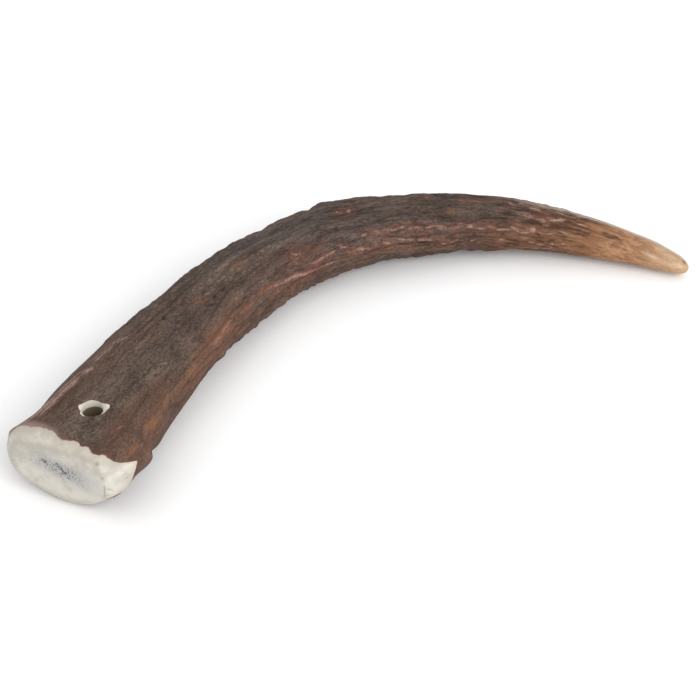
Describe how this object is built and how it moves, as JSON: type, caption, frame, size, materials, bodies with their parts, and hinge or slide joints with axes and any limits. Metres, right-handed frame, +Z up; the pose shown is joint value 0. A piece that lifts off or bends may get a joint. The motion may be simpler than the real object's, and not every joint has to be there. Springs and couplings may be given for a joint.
{
  "type": "deer antler dog chew",
  "caption": "Curved deer antler tine for a dog to chew: ridged bark, light worn tip, thick end sawn flat with its edge ground round, and one hole drilled near it for a cord.",
  "frame": {"origin": "on the surface that the tine lies on, under the middle of its bounding box", "axes": "+X along the chord from the sawn end to the tip, +Y towards the outer side of the curve, +Z up, out of the plane of the curve"},
  "size_m": [0.2366, 0.09, 0.0268],
  "materials": {
    "antler": "matt dark brown bark with pale satin bone at the cut and a polished tan tip"
  },
  "bodies": {
    "root": {"antler": "antler"}
  },
  "joints": []
}
